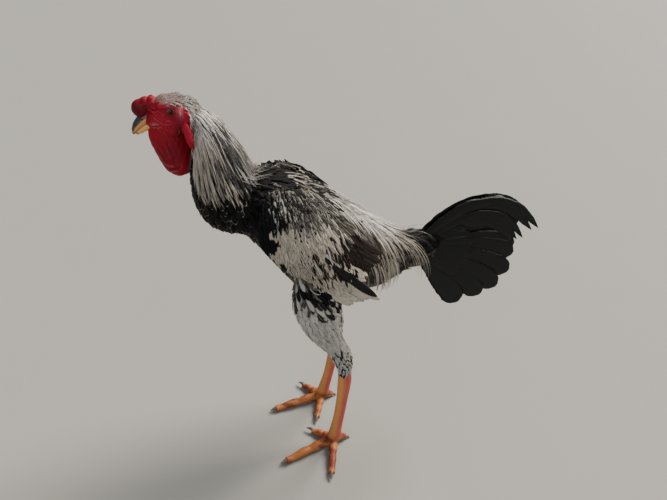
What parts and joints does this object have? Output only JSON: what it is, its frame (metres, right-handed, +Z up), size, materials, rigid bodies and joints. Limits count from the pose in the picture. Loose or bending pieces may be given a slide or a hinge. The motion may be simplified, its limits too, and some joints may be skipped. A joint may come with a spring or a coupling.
{
  "type": "malay cock figure",
  "caption": "Life-size standing gamecock of the malay type, tall and upright with a long neck, low comb, folded wings and a level fan tail.",
  "frame": {"origin": "centre of the bounding box, on the floor under the bird's soles", "axes": "+Z up; the bird faces -X with its tail toward +X, and its left side is toward -Y"},
  "size_m": [0.5976, 0.2344, 0.6507],
  "materials": {
    "plumage": "mottled black and cream feathers, matte",
    "hackle": "cream feathers with black shafts, soft sheen",
    "wing": "cream and black feathers, matte",
    "tail": "black feathers with a faint green sheen",
    "thigh": "grey-white short feathers, matte",
    "bare_skin": "wrinkled red skin, slightly waxy",
    "comb": "pebbled dark red skin",
    "lobe": "smooth red skin",
    "beak_dark": "dark horn with yellow sides",
    "beak_pale": "yellow horn",
    "eye": "wet glossy eye",
    "leg": "orange-yellow scales",
    "claw": "grey-brown horn"
  },
  "bodies": {
    "root": {"torso": "plumage", "neck": "hackle", "head": "bare_skin", "comb": "comb", "dewlap": "bare_skin", "earlobe_left": "lobe", "earlobe_right": "lobe", "beak_upper": "beak_dark", "beak_lower": "beak_pale", "eye_left": "eye", "eye_right": "eye", "wing_left": "wing", "wing_right": "wing", "tail": "tail", "thigh_left": "thigh", "thigh_right": "thigh", "shank_left": "leg", "shank_right": "leg", "toe_left_inner": "leg", "claw_left_inner": "claw", "toe_left_middle": "leg", "claw_left_middle": "claw", "toe_left_outer": "leg", "claw_left_outer": "claw", "toe_left_hallux": "leg", "claw_left_hallux": "claw", "toe_right_inner": "leg", "claw_right_inner": "claw", "toe_right_middle": "leg", "claw_right_middle": "claw", "toe_right_outer": "leg", "claw_right_outer": "claw", "toe_right_hallux": "leg", "claw_right_hallux": "claw"}
  },
  "joints": []
}
